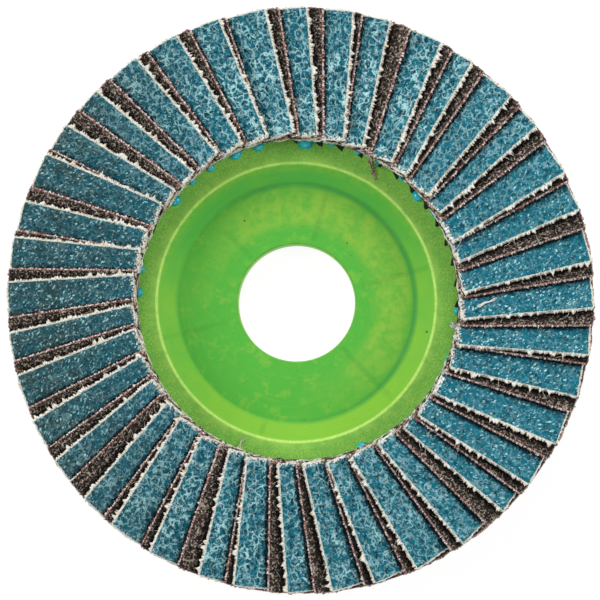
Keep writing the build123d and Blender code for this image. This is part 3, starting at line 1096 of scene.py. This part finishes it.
# %% The underside is plain green, and the edge of the bore gets a painted highlight
facing = make.split(make.node("ShaderNodeNewGeometry").outputs["True Normal"])[2]
plain = make.mix(make.times(cloudy, 0.5), FLOOR_GREEN, FLOOR_YELLOW)
colour = make.mix(make.ramp(facing, 0.05, 0.2), plain, colour)
bore = make.ramp(radius, BORE_RADIUS, BORE_RADIUS + 0.2, 1.0, 0.0)
colour = make.mix(make.times(bore, 0.7), colour, BORE_LIGHT)

grit = make.noise(place, 3.0, detail=3.0)[0]
height = make.math("ADD", mottle, make.times(grit, 0.35))
finish_surface(make, colour, height, 0.05 * MM, 0.5, Specular_IOR_Level=0.25)
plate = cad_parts["backing_plate"]
plate.data.materials.clear()
plate.data.materials.append(plate_material)
print("plate keeps its CAD mesh:", len(plate.data.polygons), "faces")

# %% [markdown]
# ## Epoxy
#
# The flaps are set in a bed of cyan epoxy. Some of it was squeezed out under their inner
# ends and set there in round, glossy beads. Each bead is a ball, flattened, with its own
# width and reach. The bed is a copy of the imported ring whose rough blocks, one for each
# of the larger beads, are pulled in under the flaps.

# %% The beads: clock angle, width and how far each shows past the flaps
BEADS = [
    (2.5, 3.1, 1.7), (11.8, 1.6, 0.5), (21.6, 1.2, 0.6), (29.8, 0.9, 0.8),
    (40.3, 1.9, 0.5), (48.8, 2.3, 1.35), (57.1, 1.9, 0.5), (66.3, 1.2, 0.35),
    (93.7, 1.4, 1.0), (111.2, 1.4, 0.6), (156.4, 2.1, 1.2), (273.0, 1.9, 0.9),
    (281.4, 1.6, 0.7), (309.2, 2.3, 1.3), (318.4, 1.4, 0.8), (326.5, 1.8, 0.9),
    (336.8, 2.3, 1.2), (345.5, 2.2, 1.1),
]
BED_INSIDE = 31.0  # the bed's inner radius between its rough blocks

epoxy_material, make = new_material("cyan_epoxy")
place = make.model_place()
cloud = make.noise(place, 0.9, detail=3.0)[0]
colour = make.mix(make.ramp(cloud, 0.35, 0.65), (0.0, 0.4, 0.5), (0.0, 0.56, 0.66))
finish_surface(make, colour, cloud, 0.02 * MM, 0.18)

bed_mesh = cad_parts["adhesive_bed"].data.copy()
bed_mesh.name = "epoxy_bed"
work = bmesh.new()
work.from_mesh(bed_mesh)
middle = Vector((*FAN_CENTRE, 0)) * MM
for vertex in work.verts:
    out = (vertex.co - middle) * Vector((1, 1, 0))
    if out.length < BED_INSIDE * MM:
        vertex.co += out.normalized() * (BED_INSIDE * MM - out.length)
for turn, width, reach in BEADS:
    depth = max(0.45 * width, 0.7 * reach)
    centre = FLAP_EDGE - reach + depth
    lie = Matrix.Rotation(-radians(turn), 4, "Z")
    spot = middle + lie @ Vector((0, centre * MM, LAND_HEIGHT * MM))
    shape = Matrix.Diagonal((width / 2 * MM, depth * MM, 0.4 * width * MM, 1))
    seat = Matrix.Translation(spot) @ lie @ shape
    bmesh.ops.create_uvsphere(work, u_segments=24, v_segments=14, radius=1, matrix=seat)
bmesh.ops.recalc_face_normals(work, faces=work.faces)
work.to_mesh(bed_mesh)
work.free()
bed_mesh.materials.clear()
bed_mesh.materials.append(epoxy_material)
bed_mesh.polygons.foreach_set("use_smooth", [True] * len(bed_mesh.polygons))
bed_mesh.set_sharp_from_angle(angle=radians(40))
bed = add_object("epoxy_bed", bed_mesh)
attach(bed, "root")
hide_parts("adhesive_bed")
print("beads:", len(BEADS), "bed faces:", len(bed_mesh.polygons))

# %% [markdown]
# ## Threads and lint
#
# Two torn threads and some lint hang from the inner ends, and one white fleck lies on a
# blue flap. Each is a bundle of thin fibres that wave about one path. The path rests on
# whatever lies below it, found by looking straight down. The threads wear the materials
# of the two cloths, which show bare yarn below the coat. The lint and the fleck are white.

# %% What lies below a place
FIBRE_POINTS = 9
graph = bpy.context.evaluated_depsgraph_get()


def surface_below(x, y):
    """The height in millimetres of the first surface met from above."""
    start = Vector((x, y, 50)) * MM
    hit, place, *_ = bpy.context.scene.ray_cast(graph, start, Vector((0, 0, -1)))
    return place.z / MM if hit else LAND_HEIGHT


# %% Threads, lint and the fleck: path, lift, spread and number of fibres
THREADS = {
    "brown": [
        ([(14.1, 27.3), (14.4, 25.6), (14.8, 23.6)], 0.35, 0.42, 9),
        ([(15.0, 27.4), (14.2, 26.2), (14.6, 25.0)], 0.35, 0.3, 5),
    ],
    "blue": [
        ([(-11.1, -27.6), (-10.5, -27.0), (-10.5, -26.3), (-9.6, -26.0)], 0.35, 0.16, 6),
        ([(-10.7, -27.2), (-10.1, -27.9)], 0.35, 0.12, 3),
    ],
    "lint": [
        ([(29.6, -4.1), (29.9, -5.0), (29.6, -4.6)], 1.6, 0.4, 24),
        ([(29.9, -6.7), (30.1, -7.4), (29.8, -7.2)], 1.6, 0.28, 18),
        ([(34.1, -1.2), (35.5, -0.4), (36.2, -0.35), (37.6, 0.45)], 0.3, 0.14, 9),
    ],
}
lint_material, make = new_material("white_lint")
place = make.model_place()
lint_noise = make.noise(place, 3.0)[0]
colour = make.mix(lint_noise, (0.8, 0.79, 0.75), (1.0, 1.0, 1.0))
finish_surface(make, colour, lint_noise, 0.02 * MM, 0.9, Specular_IOR_Level=0.3)
thread_looks = {
    "brown": (brown_material, "brown_abrasive"),
    "blue": (blue_material, "blue_abrasive"),
    "lint": (lint_material, "blue_abrasive"),
}
rng = np.random.default_rng(5)
for kind, threads in THREADS.items():
    work = Patchwork()
    for path, lift, spread, count in threads:
        knots = np.array([(x, y, surface_below(x, y) + lift) for x, y in path])
        along = np.linspace(0, len(path) - 1, FIBRE_POINTS)
        line = [np.interp(along, range(len(path)), knots[:, axis]) for axis in range(3)]
        for _ in range(count):
            wave = np.cumsum(rng.normal(0, 0.4 * spread, (FIBRE_POINTS, 3)), axis=0)
            wave -= wave.mean(axis=0) - rng.normal(0, 0.4 * spread, 3)
            fibre = np.stack(line, axis=1) + wave
            fibre[:, 2] = np.maximum(fibre[:, 2], LAND_HEIGHT + 0.1)
            add_fibre(work, fibre, rng.uniform(0.07, 0.12), rng.uniform(0, 90), 0.35)
    material, slot = thread_looks[kind]
    mesh = work.mesh("thread", [material])
    thread = add_object(f"loose_{kind}_threads", mesh)
    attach(thread, "root")
    print(thread.name, "faces:", len(mesh.polygons))

# %% Note the sizes and finish
visual_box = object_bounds()
growth = [(v - c) / MM for v, c in zip(visual_box, cad_box)]
print("visual box beyond the CAD box in mm:", growth)
